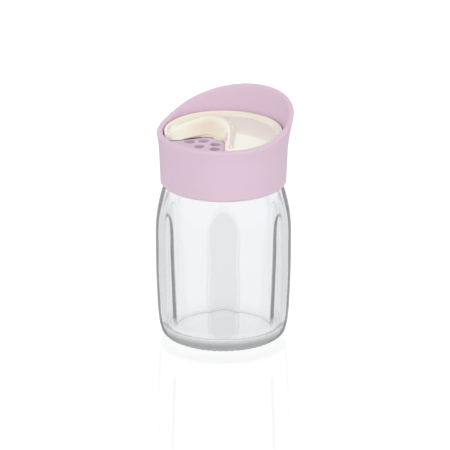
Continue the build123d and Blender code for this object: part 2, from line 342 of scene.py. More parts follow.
def put(tree, kind, inputs=None, **settings):
    """Adds a node, with its settings and the sockets or values that feed it."""
    node = tree.nodes.new(kind)
    node.location = (len(tree.nodes) * 170 - 1200, (len(tree.nodes) % 5) * -120)
    for name, value in settings.items():
        setattr(node, name, value)
    for key, value in (inputs or {}).items():
        if isinstance(value, bpy.types.NodeSocket):
            tree.links.new(value, node.inputs[key])
        else:
            node.inputs[key].default_value = value
    return node


def calc(tree, operation, *values):
    """The result of a Math node."""
    return put(tree, "ShaderNodeMath", dict(enumerate(values)), operation=operation).outputs[0]


def sockets(tree, direction, *specs):
    """Adds named sockets to a tree, each a name, a kind and perhaps a default."""
    for name, kind, *rest in specs:
        socket = tree.interface.new_socket(name, in_out=direction, socket_type=kind)
        if rest:
            socket.default_value = rest[0]


def run_tree(thing, tree, **values):
    """Runs a geometry tree on an object and keeps the result as a plain mesh."""
    modifier = thing.modifiers.new(tree.name, "NODES")
    modifier.node_group = tree
    for item in tree.interface.items_tree:
        key = item.name.lower().replace(" ", "_")
        if item.item_type == "SOCKET" and item.in_out == "INPUT" and key in values:
            modifier[item.identifier] = values[key]
    bpy.context.view_layer.update()
    depsgraph = bpy.context.evaluated_depsgraph_get()
    result = bpy.data.meshes.new_from_object(thing.evaluated_get(depsgraph), depsgraph=depsgraph)
    thing.modifiers.remove(modifier)
    thing.data = result
    return thing


def end_tree(tree, geometry, material):
    """Ends a geometry tree with real copies in place of instances, and a material."""
    whole = put(tree, "GeometryNodeRealizeInstances", {"Geometry": geometry})
    dressed = put(tree, "GeometryNodeSetMaterial", {"Geometry": whole.outputs[0], "Material": material})
    put(tree, "NodeGroupOutput", {"Geometry": dressed.outputs[0]})
    return tree


def panel_tree():
    """Presses soft-edged flats round a turned blank, and dimples round its foot."""
    tree = bpy.data.node_groups.new("Pressed flats", "GeometryNodeTree")
    sockets(tree, "INPUT", ("Geometry", "NodeSocketGeometry"), ("Flats", "NodeSocketInt", 6),
            ("First Flat", "NodeSocketFloat", 0.5), ("Depth", "NodeSocketFloat", 0.001),
            ("Edge Softness", "NodeSocketFloat", 0.0003), ("Dimples", "NodeSocketInt", 60),
            ("Dimple Depth", "NodeSocketFloat", 0.0002), ("Material", "NodeSocketMaterial"))
    sockets(tree, "OUTPUT", ("Geometry", "NodeSocketGeometry"))
    given = put(tree, "NodeGroupInput").outputs
    place = put(tree, "ShaderNodeSeparateXYZ", {0: put(tree, "GeometryNodeInputPosition").outputs[0]}).outputs
    radius = calc(tree, "SQRT", calc(tree, "ADD", calc(tree, "MULTIPLY", place[0], place[0]),
                                     calc(tree, "MULTIPLY", place[1], place[1])))
    angle = calc(tree, "ARCTAN2", place[1], place[0])
    half = calc(tree, "DIVIDE", math.pi, given["Flats"])
    fold = calc(tree, "WRAP", calc(tree, "SUBTRACT", angle, given["First Flat"]), half,
                calc(tree, "MULTIPLY", half, -1.0))
    share = put(tree, "GeometryNodeInputNamedAttribute", {"Name": "flat_share"}).outputs[0]
    flat = calc(tree, "DIVIDE", calc(tree, "SUBTRACT", radius, calc(tree, "MULTIPLY", given["Depth"], share)),
                calc(tree, "COSINE", fold))
    gap = calc(tree, "ABSOLUTE", calc(tree, "SUBTRACT", radius, flat))
    overlap = calc(tree, "MAXIMUM", calc(tree, "SUBTRACT", given["Edge Softness"], gap), 0.0)
    near = calc(tree, "DIVIDE", overlap, given["Edge Softness"])
    near_square = calc(tree, "MULTIPLY", near, near)
    blend = calc(tree, "MULTIPLY", near_square, calc(tree, "MULTIPLY", given["Edge Softness"], 0.25))
    pressed = calc(tree, "SUBTRACT", calc(tree, "MINIMUM", radius, flat), blend)
    scale = calc(tree, "DIVIDE", pressed, calc(tree, "MAXIMUM", radius, 1e-6))
    foot = put(tree, "GeometryNodeInputNamedAttribute", {"Name": "foot_share"}).outputs[0]
    turns = calc(tree, "COSINE", calc(tree, "MULTIPLY", angle, given["Dimples"]))
    wave = calc(tree, "MULTIPLY", calc(tree, "ADD", turns, 1.0), 0.5)
    sink = calc(tree, "MULTIPLY", calc(tree, "MULTIPLY", given["Dimple Depth"], foot), wave)
    normal = put(tree, "GeometryNodeInputNormal").outputs[0]
    inward = put(tree, "ShaderNodeVectorMath", {
        0: normal, "Scale": calc(tree, "MULTIPLY", sink, -1.0)}, operation="SCALE").outputs[0]
    pressed_place = put(tree, "ShaderNodeCombineXYZ", {
        0: calc(tree, "MULTIPLY", place[0], scale), 1: calc(tree, "MULTIPLY", place[1], scale), 2: place[2]})
    place_after = put(tree, "ShaderNodeVectorMath", {0: pressed_place.outputs[0], 1: inward}, operation="ADD")
    press = put(tree, "ShaderNodeMapRange", {
        "Value": calc(tree, "SUBTRACT", radius, flat), "From Max": given["Edge Softness"]}).outputs[0]
    marked = given["Geometry"]
    # The flat's edge and face are stored for the glass's painted shade
    for name, value in (("flat_edge", near_square), ("flat_face", press)):
        marked = put(tree, "GeometryNodeStoreNamedAttribute", {
            "Geometry": marked, "Name": name, "Value": value}).outputs[0]
    moved = put(tree, "GeometryNodeSetPosition", {"Geometry": marked, "Position": place_after.outputs[0]})
    return end_tree(tree, moved.outputs[0], given["Material"])


def round_tree():
    """Repeats a part round the upright axis."""
    tree = bpy.data.node_groups.new("Round the axis", "GeometryNodeTree")
    sockets(tree, "INPUT", ("Geometry", "NodeSocketGeometry"), ("Count", "NodeSocketInt", 3),
            ("Material", "NodeSocketMaterial"))
    sockets(tree, "OUTPUT", ("Geometry", "NodeSocketGeometry"))
    given = put(tree, "NodeGroupInput").outputs
    points = put(tree, "GeometryNodePoints", {"Count": given["Count"]}).outputs[0]
    step = calc(tree, "DIVIDE", 2 * math.pi, given["Count"])
    turn = put(tree, "ShaderNodeCombineXYZ", {
        2: calc(tree, "MULTIPLY", put(tree, "GeometryNodeInputIndex").outputs[0], step)})
    placed = put(tree, "GeometryNodeInstanceOnPoints", {
        "Points": points, "Instance": given["Geometry"], "Rotation": turn.outputs[0]})
    return end_tree(tree, placed.outputs[0], given["Material"])


def hole_row_tree():
    """Copies of a cutter spaced along an arc about the upright axis."""
    tree = bpy.data.node_groups.new("Hole row", "GeometryNodeTree")
    sockets(tree, "INPUT", ("Cutter", "NodeSocketGeometry"), ("Radius", "NodeSocketFloat", 0.01),
            ("Holes", "NodeSocketInt", 3), ("Spacing", "NodeSocketFloat", 0.5),
            ("Middle", "NodeSocketFloat", 0.0))
    sockets(tree, "OUTPUT", ("Cutters", "NodeSocketGeometry"))
    given = put(tree, "NodeGroupInput").outputs
    index = put(tree, "GeometryNodeInputIndex").outputs[0]
    middle = calc(tree, "MULTIPLY", calc(tree, "SUBTRACT", given["Holes"], 1.0), 0.5)
    centred = calc(tree, "SUBTRACT", index, middle)
    angle = calc(tree, "ADD", given["Middle"], calc(tree, "MULTIPLY", centred, given["Spacing"]))
    place = put(tree, "ShaderNodeCombineXYZ", {
        0: calc(tree, "MULTIPLY", given["Radius"], calc(tree, "COSINE", angle)),
        1: calc(tree, "MULTIPLY", given["Radius"], calc(tree, "SINE", angle))})
    points = put(tree, "GeometryNodePoints", {"Count": given["Holes"], "Position": place.outputs[0]})
    placed = put(tree, "GeometryNodeInstanceOnPoints", {
        "Points": points.outputs[0], "Instance": given["Cutter"]})
    put(tree, "NodeGroupOutput", {"Cutters": placed.outputs[0]})
    return tree


def sieve_tree():
    """Cuts rings of holes through a deck."""
    row = hole_row_tree()
    tree = bpy.data.node_groups.new("Sieve", "GeometryNodeTree")
    sockets(tree, "INPUT", ("Geometry", "NodeSocketGeometry"), ("Cutter", "NodeSocketObject"),
            ("Middle", "NodeSocketFloat", 0.0), ("Inner Radius", "NodeSocketFloat", 0.01),
            ("Inner Holes", "NodeSocketInt", 2), ("Inner Spacing", "NodeSocketFloat", 0.7),
            ("Outer Radius", "NodeSocketFloat", 0.02), ("Outer Holes", "NodeSocketInt", 3),
            ("Outer Spacing", "NodeSocketFloat", 0.5), ("Material", "NodeSocketMaterial"))
    sockets(tree, "OUTPUT", ("Geometry", "NodeSocketGeometry"))
    given = put(tree, "NodeGroupInput").outputs
    cutter = put(tree, "GeometryNodeObjectInfo", {"Object": given["Cutter"]}).outputs["Geometry"]
    rows = [put(tree, "GeometryNodeGroup", node_tree=row) for _ in range(2)]
    for node, side in zip(rows, ("Inner", "Outer")):
        tree.links.new(cutter, node.inputs["Cutter"])
        tree.links.new(given["Middle"], node.inputs["Middle"])
        for word in ("Radius", "Holes", "Spacing"):
            tree.links.new(given[f"{side} {word}"], node.inputs[word])
    gathered = put(tree, "GeometryNodeJoinGeometry")
    for node in rows:
        tree.links.new(node.outputs[0], gathered.inputs[0])
    cutters = put(tree, "GeometryNodeRealizeInstances", {"Geometry": gathered.outputs[0]})
    cut = put(tree, "GeometryNodeMeshBoolean", {"Mesh 1": given["Geometry"], "Mesh 2": cutters.outputs[0]},
              operation="DIFFERENCE", solver="EXACT")
    return end_tree(tree, cut.outputs[0], given["Material"])


# Materials

def new_material(name):
    """An empty node material and its output."""
    material = bpy.data.materials.new(name)
    material.use_nodes = True
    material.node_tree.nodes.clear()
    return material, put(material.node_tree, "ShaderNodeOutputMaterial")


def moulded_group():
    """Shader group for moulded surfaces: cloudy colour change, fine grain and slow waves."""
    tree = bpy.data.node_groups.new("Moulded surface", "ShaderNodeTree")
    sockets(tree, "INPUT", ("Colour", "NodeSocketColor", (0.8, 0.8, 0.8, 1)),
            *((name, "NodeSocketFloat", value) for name, value in (
                ("Cloud", 0.02), ("Cloud Size", 0.02), ("Grain Size", 0.0006), ("Grain Depth", 0.1),
                ("Wave Size", 0.01), ("Wave Depth", 0.1), ("Roughness", 0.4), ("Roughness Spread", 0.05))))
    sockets(tree, "OUTPUT", ("Colour", "NodeSocketColor"), ("Roughness", "NodeSocketFloat"),
            ("Normal", "NodeSocketVector"))
    given = put(tree, "NodeGroupInput").outputs
    where = put(tree, "ShaderNodeTexCoord").outputs["Object"]
    noises = {}
    for name, detail in (("Cloud", 3.0), ("Grain", 2.0), ("Wave", 1.0)):
        noises[name] = put(tree, "ShaderNodeTexNoise", {
            "Vector": where, "Scale": calc(tree, "DIVIDE", 1.0, given[f"{name} Size"]),
            "Detail": detail}).outputs["Fac"]
    centred = calc(tree, "SUBTRACT", noises["Cloud"], 0.5)
    doubled = calc(tree, "MULTIPLY", centred, 2.0)
    shade = calc(tree, "ADD", 1.0, calc(tree, "MULTIPLY", doubled, given["Cloud"]))
    colour = put(tree, "ShaderNodeVectorMath", {
        0: given["Colour"], "Scale": shade}, operation="SCALE").outputs[0]
    rough = calc(tree, "ADD", given["Roughness"], calc(tree, "MULTIPLY", centred, given["Roughness Spread"]))
    waves = put(tree, "ShaderNodeBump", {"Height": noises["Wave"], "Distance": 0.001,
                                         "Strength": given["Wave Depth"]}).outputs[0]
    grain = put(tree, "ShaderNodeBump", {"Height": noises["Grain"], "Distance": 0.0001,
                                         "Strength": given["Grain Depth"], "Normal": waves}).outputs[0]
    put(tree, "NodeGroupOutput", {"Colour": colour, "Roughness": rough, "Normal": grain})
    return tree


def glass_material(settings):
    """Clear pressed glass: faint waves, and painted shade that darkens its colour where the wall is seen
    side-on.
    """
    material, output = new_material("clear_glass_pressed")
    tree = material.node_tree
    facing = put(tree, "ShaderNodeLayerWeight", {"Blend": 0.5}).outputs["Facing"]
    marks = {name: put(tree, "ShaderNodeAttribute", attribute_name=name).outputs["Fac"] for name in PAINTED_SHADE}

    def seen(weight, turn):
        return put(tree, "ShaderNodeMapRange", {"Value": weight, "From Min": turn[0], "From Max": turn[1]},
                   interpolation_type="SMOOTHSTEP").outputs[0]

    place = put(tree, "ShaderNodeTexCoord").outputs["Object"]
    level = put(tree, "ShaderNodeVectorMath", {0: place, 1: (1, 1, 0)}, operation="MULTIPLY").outputs[0]
    round_normal = put(tree, "ShaderNodeVectorMath", {0: level}, operation="NORMALIZE").outputs[0]
    round_facing = put(tree, "ShaderNodeLayerWeight", {
        "Blend": 0.5, "Normal": round_normal}).outputs["Facing"]
    flank_seen = calc(tree, "MULTIPLY", seen(round_facing, FLANK_TURN),
                      calc(tree, "SUBTRACT", 1.0, seen(round_facing, FLANK_TURN_END)))
    height = put(tree, "ShaderNodeSeparateXYZ", {0: place}).outputs["Z"]
    low_wall = put(tree, "ShaderNodeMapRange", {
        "Value": height, "From Min": EDGE_HEIGHTS[1] * MM, "From Max": EDGE_HEIGHTS[0] * MM,
        "To Min": 0.5, "To Max": 1.0}).outputs[0]
    shown = {"flank": flank_seen, "shoulder": seen(facing, SHOULDER_TURN), "outside": seen(facing, WALL_TURN),
             "flat_edge": low_wall}
    # Painted shade: the outline, the lines along the flats, the arch tops, the flats' edges and faces and the
    # heel darken the glass's colour
    painted_dark = calc(tree, "MULTIPLY", seen(facing, OUTLINE_TURN), marks["outside"])
    for name, strength in PAINTED_SHADE.items():
        visible = calc(tree, "MULTIPLY", marks[name], shown[name]) if name in shown else marks[name]
        painted_dark = calc(tree, "MAXIMUM", painted_dark, calc(tree, "MULTIPLY", visible, strength))
    front = calc(tree, "SUBTRACT", 1.0, put(tree, "ShaderNodeNewGeometry").outputs["Backfacing"])
    painted_dark = calc(tree, "MULTIPLY", painted_dark, front)
    shade = put(tree, "ShaderNodeMix", {"Factor": painted_dark, 6: settings.glass_tint, 7: settings.glass_edge},
                data_type="RGBA").outputs[2]
    surface = put(tree, "ShaderNodeGroup", node_tree=bpy.data.node_groups["Moulded surface"])
    surface.inputs["Wave Depth"].default_value = settings.glass_wave
    surface.inputs["Grain Depth"].default_value = 0.0
    shader = put(tree, "ShaderNodeBsdfPrincipled", {
        "Base Color": shade, "Roughness": 0.0, "IOR": 1.51, "Transmission Weight": 1.0,
        "Normal": surface.outputs["Normal"]})
    body = put(tree, "ShaderNodeVolumeAbsorption", {
        "Color": settings.glass_body, "Density": settings.glass_density})
    trapped = calc(tree, "GREATER_THAN", put(tree, "ShaderNodeLightPath").outputs["Ray Depth"], TRAPPED)
    clear = put(tree, "ShaderNodeBsdfTransparent", {"Color": (0.85, 0.86, 0.87, 1)})
    mix = put(tree, "ShaderNodeMixShader", {0: trapped, 1: shader.outputs[0], 2: clear.outputs[0]})
    tree.links.new(mix.outputs[0], output.inputs["Surface"])
    tree.links.new(body.outputs[0], output.inputs["Volume"])
    return material


def plastic_material(name, colour, roughness, coat, index=1.49, painted_shade_part=None, **surface_values):
    """Moulded plastic with cloudy colour, fine grain, an optional clear gloss and an optional part with
    painted reflection and shade.
    """
    material, output = new_material(name)
    tree = material.node_tree
    surface = put(tree, "ShaderNodeGroup", node_tree=bpy.data.node_groups["Moulded surface"])
    surface.inputs["Colour"].default_value = colour
    surface.inputs["Roughness"].default_value = roughness
    if painted_shade_part is not None:
        # Painted reflection and shade: the stored share mixes the colour towards the painted colour
        thick = put(tree, "ShaderNodeAttribute", attribute_name=painted_shade_part[0]).outputs["Fac"]
        painted_tone = put(tree, "ShaderNodeMix", {
            "Factor": thick, 6: colour, 7: painted_shade_part[1]}, data_type="RGBA").outputs[2]
        tree.links.new(painted_tone, surface.inputs["Colour"])
    for key, value in surface_values.items():
        surface.inputs[key.replace("_", " ").title()].default_value = value
    shader = put(tree, "ShaderNodeBsdfPrincipled", {
        "Base Color": surface.outputs["Colour"], "Roughness": surface.outputs["Roughness"],
        "Normal": surface.outputs["Normal"], "IOR": index,
        "Coat Weight": coat, "Coat IOR": index, "Coat Roughness": 0.03,
        "Subsurface Weight": 0.12, "Subsurface Scale": 0.002})
    tree.links.new(shader.outputs[0], output.inputs["Surface"])
    return material


# Jar

def jar_line():
    """Outline of the jar from the punt's middle, up the outside and down the inside."""
    bead = arc((NECK_RADIUS - 0.1, BEAD_HEIGHT), BEAD_ROUND, -85, 85, 9)
    lip = joined(arc((NECK_RADIUS - LIP_ROUND, JAR_TOP - LIP_ROUND), LIP_ROUND, 0, 90, 6),
                 arc((MOUTH_RADIUS + LIP_ROUND, JAR_TOP - LIP_ROUND), LIP_ROUND, 90, 180, 6))
    neck = np.column_stack([np.full(34, NECK_RADIUS), np.linspace(*NECK_HEIGHTS, 34)])
    outside = joined(
        smooth_line(PUNT[1:], 10, end=(0.3, -1)), [BEARING_RING],
        smooth_line(FOOT_RING, 12, start=(1, 0), end=(0.3, 1)),
        smooth_line(SIDE, 40, start=(0.3, 1), end=(0, 1)),
        smooth_line(SHOULDER, 34, start=(0, 1), end=(0, 1)), bead, neck, lip)
    inside = joined(
        [(MOUTH_RADIUS, MOUTH_FOOT)], smooth_line(INSIDE_SHOULDER, 22, start=(0, -1), end=(0, -1)),
        INSIDE_WALL, smooth_line(INSIDE_CORNER, 16, start=(0, -1), end=(-1, 0)), [INSIDE_FLOOR])
    return joined(outside, inside), len(outside)


def jar_rings(line, outside, columns):
    """Rings of the jar, with its screw lugs raised out of the neck."""
    rings = turned(line, columns)
    angle = np.degrees(np.arange(columns) / columns * 2 * math.pi)
    start_height, sweep, root, crest = JAR_LUG
    along = (angle % (360.0 / LUGS)) / sweep
    fade = np.clip(LUG_FADE * np.minimum(along, 1 - along), 0, 1)
    middle = start_height + LEAD * along * sweep / 360
    for i in range(outside):
        if abs(line[i, 0] - root) < 1e-3 and line[i, 1] > BEAD_HEIGHT:
            slope = (LUG_ROOT - np.abs(line[i, 1] - middle)) / (LUG_ROOT - LUG_CREST)
            raised = np.clip(slope, 0, 1) * fade * (crest - root)
            rings[i, :, :2] *= ((root + raised) / root)[:, None]
    return rings


def mark_jar(mesh, line, outside, columns, flats):
    """Marks how deep the flats and the foot's dimples are pressed, and where painted shade darkens the glass.
    """
    reach = smooth_line(FLAT_REACH, 200)
    is_outside = np.arange(len(line)) < outside
    radius, height = line[:, 0], line[:, 1]
    # Rows without flats have them well outside the wall
    share = np.full(len(line), -5.0)
    side = is_outside & (height > FLAT_REACH[0][1]) & (height < FLAT_REACH[-1][1])
    share[side] = radius[side] - np.interp(height[side], reach[:, 1], reach[:, 0])
    middle, half_band, top, _ = DIMPLES
    foot = np.where(height < top, np.clip(1 - np.abs(radius - middle) / half_band, 0, 1), 0)
    heel = np.where(is_outside & (radius > PUNT[-1][0]), np.interp(height, *zip(*HEEL_SHADE)), 0)
    step = 360.0 / flats
    angle = np.arange(columns) / columns * 360.0 - FIRST_FLAT
    angle = np.abs((angle + step / 2) % step - step / 2)[None, :]
    past = angle - np.interp(height, *zip(*FLANK))[:, None]
    inner, outer = ((extent + sign * past) / fade
                    for sign, (extent, fade) in ((1, FLANK_INSIDE), (-1, FLANK_OUTSIDE)))
    flank, arch = ((is_outside * np.interp(height, heights, [0, 1, 1, 0]))[:, None]
                   for heights in (FLANK_HEIGHTS, ARCH_HEIGHTS))
    flank = np.clip(inner, 0, 1) * np.clip(outer, 0, 1) * flank
    shoulder = np.clip((ARCH_REACH[0] - angle) / ARCH_REACH[1], 0, 1) * arch
    for name, values in (("flat_share", share), ("foot_share", foot), ("heel", heel),
                         ("outside", is_outside.astype(float)), ("flank", flank), ("shoulder", shoulder)):
        grid = values if values.ndim == 2 else values[:, None]
        spread = np.broadcast_to(grid, (len(line), columns)).ravel()
        spread = np.concatenate([spread, [spread[0], spread[-1]]])
        mark(mesh, name, spread)


def lug(height, sweep, root, crest, start):
    """One screw lug: a trapezoid rib that climbs at the lead and fades at both ends."""
    steps = 36
    inner = root + math.copysign(0.3, root - crest)
    section = np.array([(inner, -LUG_ROOT), (crest, -LUG_CREST), (crest, LUG_CREST), (inner, LUG_ROOT)])
    rings = []
    for i in range(steps + 1):
        share = i / steps
        a = math.radians(start + sweep * share)
        fade = min(1.0, LUG_FADE * min(share, 1 - share) + 0.05)
        radius = inner + (section[:, 0] - inner) * fade
        z = height + LEAD * sweep * share / 360 + section[:, 1]
        rings.append(np.stack([radius * math.cos(a), radius * math.sin(a), z], axis=1))
    rings = np.array(rings)
    return skin("lug", rings, rings[0].mean(axis=0), rings[-1].mean(axis=0))


class ShakerSettings(bpy.types.PropertyGroup):
    """Sizes and finishes that a user of the shaker may change."""

    flats: bpy.props.IntProperty(
        name="Flats", description="Flats pressed round the jar", default=6, min=3, max=12)
    flat_depth: bpy.props.FloatProperty(
        name="Flat depth", description="How deep each flat is pressed for each millimetre of its outline",
        default=0.001, unit="LENGTH")
    flat_softness: bpy.props.FloatProperty(
        name="Flat edge softness", description="How softly a flat meets the round wall",
        default=0.0003, unit="LENGTH")
    dimples: bpy.props.IntProperty(
        name="Foot dimples", description="Small dimples round the bearing ring", default=60, min=0, max=120)
    glass_tint: bpy.props.FloatVectorProperty(
        name="Glass tint", description="Colour of light through the glass face-on", subtype="COLOR", size=4,
        default=(0.972, 0.977, 0.98, 1))
    # Painted shade: the colour that the glass's dark lines, outline and heel are painted towards
    glass_edge: bpy.props.FloatVectorProperty(
        name="Glass edge", description="Colour of the glass seen edge-on", subtype="COLOR", size=4,
        default=(0.06, 0.065, 0.07, 1))
    glass_body: bpy.props.FloatVectorProperty(
        name="Glass body", description="Colour that thick glass turns light to", subtype="COLOR", size=4,
        default=(0.3, 0.33, 0.335, 1))
    glass_density: bpy.props.FloatProperty(
        name="Glass density", description="How fast thick glass takes up light, per metre", default=3.5)
    glass_wave: bpy.props.FloatProperty(
        name="Glass waves", description="Strength of the slow waves of pressed glass", default=0.03)


class CapSettings(bpy.types.PropertyGroup):
    """Finish of the screw cap."""

    colour: bpy.props.FloatVectorProperty(
        name="Colour", description="Cap plastic", subtype="COLOR", size=4, default=(0.73, 0.555, 0.68, 1))
    roughness: bpy.props.FloatProperty(
        name="Roughness", description="Satin sheen of the cap", subtype="FACTOR", default=0.42)
    hole_radius: bpy.props.FloatProperty(
        name="Hole radius", description="Radius of each sieve hole", default=HOLE_RADIUS * MM, unit="LENGTH")


class DialSettings(bpy.types.PropertyGroup):
    """Finish of the selector dial."""

    colour: bpy.props.FloatVectorProperty(
        name="Colour", description="Dial plastic", subtype="COLOR", size=4, default=(0.95, 0.93, 0.8, 1))
    # Painted pink reflection and shade: the colour that the scoop and the rim's back are painted towards
    painted_shade_colour: bpy.props.FloatVectorProperty(
        name="Thick colour", description="Dial plastic where the ridge is thick", subtype="COLOR", size=4,
        default=(0.82, 0.68, 0.52, 1))
    gloss: bpy.props.FloatProperty(
        name="Gloss roughness", description="Roughness of the dial's polish", subtype="FACTOR", default=0.05)
    edge_round: bpy.props.FloatProperty(
        name="Edge rounding", description="Rounding along the window's edge", default=0.00045, unit="LENGTH")


class StageSettings(bpy.types.PropertyGroup):
    """Light and surroundings."""

    surround: bpy.props.FloatProperty(
        name="Surround light", description="Strength of the even light from all round", default=0.72)
    floor_shade: bpy.props.FloatProperty(
        name="Floor shade", description="How much of the object's shadow the floor shows",
        subtype="FACTOR", default=0.12)
    floor_white: bpy.props.FloatProperty(
        name="Floor white", description="Strength of the floor's own white, which makes up for its shade",
        default=1.2)
    floor_polish: bpy.props.FloatProperty(
        name="Floor polish", description="How much the floor mirrors the shaker", subtype="FACTOR",
        default=0.25)


class SHAKER_OT_jar(bpy.types.Operator):
    """Build the pressed glass jar"""

    bl_idname = "shaker.jar"
    bl_label = "Glass jar"

    def execute(self, context):
        settings = context.scene.shaker
        line, outside = jar_line()
        columns = 480
        rings = jar_rings(line, outside, columns)
        jar = skin("jar_glass", rings, (0, 0, PUNT[0][1]), (0, 0, INSIDE_FLOOR[1]))
        mark_jar(jar.data, line, outside, columns, settings.flats)
        glass = glass_material(settings)
        run_tree(jar, panel_tree(), flats=settings.flats, first_flat=math.radians(FIRST_FLAT),
                 depth=settings.flat_depth, edge_softness=settings.flat_softness, dimples=settings.dimples,
                 dimple_depth=DIMPLES[-1] * MM, material=glass)
        smooth(jar.data)
        finish_piece(jar, "jar", ["glass_jar"], glass)
        return {"FINISHED"}


def rim_height(x, y):
    """Height of the collar's rim at a place seen from above."""
    azimuth, climb = math.radians(RIM_AZIMUTH), math.radians(RIM_CLIMB)
    along = x * math.cos(azimuth) + y * math.sin(azimuth)
    tangent = RIM_BLEND * math.tan(climb / 2)
    run = np.clip(along - RIM_KNEE + tangent, 0, tangent * (1 + math.cos(climb)))
    bend = RIM_LOW + RIM_BLEND - np.sqrt(RIM_BLEND**2 - run**2)
    straight = RIM_LOW + (along - RIM_KNEE) * math.tan(climb)
    return np.where(along > RIM_KNEE + tangent * math.cos(climb), straight, bend)


def rim_point(line, angle):
    """Radius and height where a wall line meets the rim, for each angle."""
    height = np.full_like(angle, RIM_LOW)
    for _ in range(12):
        radius = np.interp(height, line[:, 1], line[:, 0])
        height = rim_height(radius * np.cos(angle), radius * np.sin(angle))
    return radius, height


def collar_rings(columns):
    """Rings of the cap: under the deck, round the skirt, over the rim and back to the deck."""
    angle = np.arange(columns) / columns * 2 * math.pi
    outer_line = smooth_line(COLLAR_OUTSIDE, 120, start=(0, 1), end=(0.1, 1))
    inner_line = smooth_line(COLLAR_INSIDE, 60, start=(0.15, 1), end=(0.1, 1))
    outer_height = rim_point(outer_line, angle)[1] - RIM_ROUND
    inner_radius, inner_height = rim_point(inner_line, angle)
    outer_radius = np.interp(outer_height, outer_line[:, 1], outer_line[:, 0])
    rings = list(turned(UNDER_DECK, columns))

    def ring(radius, height):
        rings.append(np.stack([radius * np.cos(angle), radius * np.sin(angle), height + 0 * angle], axis=-1))

    middle, rounding = SKIRT_FOOT
    foot = SKIRT_BOTTOM + rounding
    for r, z in arc((middle, foot), rounding, -80, 0, 7):
        ring(r, z)
    for share in np.linspace(0, 1, 30)[1:]:
        z = foot + (outer_height - foot) * share
        ring(np.interp(z, outer_line[:, 1], outer_line[:, 0]), z)
    for wall, side, turns in ((outer_radius, -1, range(18, 91, 18)), (inner_radius, 1, range(90, -1, -18))):
        for turn in np.radians(turns):
            r = wall + side * RIM_ROUND * (1 - np.cos(turn))
            ring(r, rim_height(r * np.cos(angle), r * np.sin(angle)) - RIM_ROUND * (1 - np.sin(turn)))
    for share in np.linspace(1, 0, 16)[1:]:
        z = COLLAR_FOOT + (inner_height - RIM_ROUND - COLLAR_FOOT) * share
        ring(np.interp(z, inner_line[:, 1], inner_line[:, 0]), z)
    return np.array(rings + list(turned(OVER_DECK, columns)))


class SHAKER_OT_cap(bpy.types.Operator):
    """Build the screw cap with its swept collar and sieve"""

    bl_idname = "shaker.cap"
    bl_label = "Sieve cap"

    def execute(self, context):
        settings = context.scene.shaker_cap
        plastic = plastic_material("cap_satin_plastic", settings.colour, settings.roughness, 0.0, cloud=0.02,
                                   grain_depth=0.25, wave_depth=0.02)
        cap = skin("cap_moulding", collar_rings(384), (0, 0, DECK[0]), (0, 0, DECK[1]))
        radius = settings.hole_radius / MM
        low, high = DECK[0] - 1, DECK[1] + 1
        lip = arc((radius + HOLE_LIP, DECK[1] - HOLE_LIP), HOLE_LIP, 180, 90, 5)
        hole = joined([(radius, low)], lip, [(radius + HOLE_LIP, high)])
        cutter = skin("hole_cutter", turned(hole, 48), (0, 0, low), (0, 0, high))
        rows = {}
        for side, (reach, holes, spacing) in SIEVE_RINGS.items():
            rows[f"{side}_radius"] = reach * MM
            rows[f"{side}_holes"] = holes
            rows[f"{side}_spacing"] = math.radians(spacing)
        run_tree(cap, sieve_tree(), cutter=cutter, middle=math.radians(SIEVE_MIDDLE), material=plastic,
                 **rows)
        bpy.data.objects.remove(cutter)
        lugs = run_tree(lug(*CAP_LUG, CAP_LUG_START), round_tree(), count=LUGS)
        cap = merged("cap_pink", [cap, lugs])
        smooth(cap.data, 35)
        finish_piece(cap, "cap", ["sieve_cap"], plastic)
        return {"FINISHED"}


# Dial

def line_distance(places, line):
    """Distance from each place to a line in plan, soft where two stretches are about as near."""
    gaps = np.linalg.norm(places[:, None, :] - line[None, :, :2], axis=2)
    steps = np.linalg.norm(np.diff(line[:, :2], axis=0), axis=1)
    length = np.gradient(np.concatenate([[0], np.cumsum(steps)]))
    pull = (np.maximum(gaps, 0.02) ** -6 * length).sum(axis=1) / (3 * math.pi / 8)
    return pull ** -0.2, gaps


def ridge_height(places, dish, crest, window):
    """Height of the dial's top with its thumb ridge, and the share of painted pink reflection and shade at
    each place.
    """
    from_crest, gaps = line_distance(places, crest)
    from_window, _ = line_distance(places, window)
    weight = gaps ** -4 + 1e-9
    top, foot, fall = ((weight * crest[:, c]).sum(axis=1) / weight.sum(axis=1) for c in (2, 3, 4))
    near = gaps.argmin(axis=1)
    along = np.gradient(crest[:, :2], axis=0)[near]
    offset = places - crest[near, :2]
    scoop_side = along[:, 0] * offset[:, 1] - along[:, 1] * offset[:, 0] > 0
    share = from_window / (from_window + from_crest)
    scoop = 0.5 - 0.5 * np.cos(math.pi * share ** SCOOP_BOW)
    back = 0.5 + 0.5 * np.cos(math.pi * np.minimum(from_crest / fall, 1))
    reach = np.linalg.norm(places, axis=1)
    inside = smooth_max(foot + (top - foot) * scoop, dish - np.clip(SCOOP_REACH - reach, 0, 2), SCOOP_BLEND)
    outside = dish + np.maximum(top - dish, 0) * back
    middle, width, least, fade = SCOOP_PAINTED_SHADE
    # Painted pink reflection and shade, most at the scoop's foot and along the back of the rim
    painted_tone = least + (1 - least) * np.exp(-((places[:, 0] - middle) / width) ** 2)
    painted_tone *= np.clip((1.0 - share) / fade, 0, 1)
    most, start, depth = RIM_PAINTED_SHADE
    rim = most * np.clip(reach - start, 0, 1) * np.clip(places[:, 1] / depth, 0, 1)
    return np.where(scoop_side, inside, outside), np.where(scoop_side, painted_tone, rim)


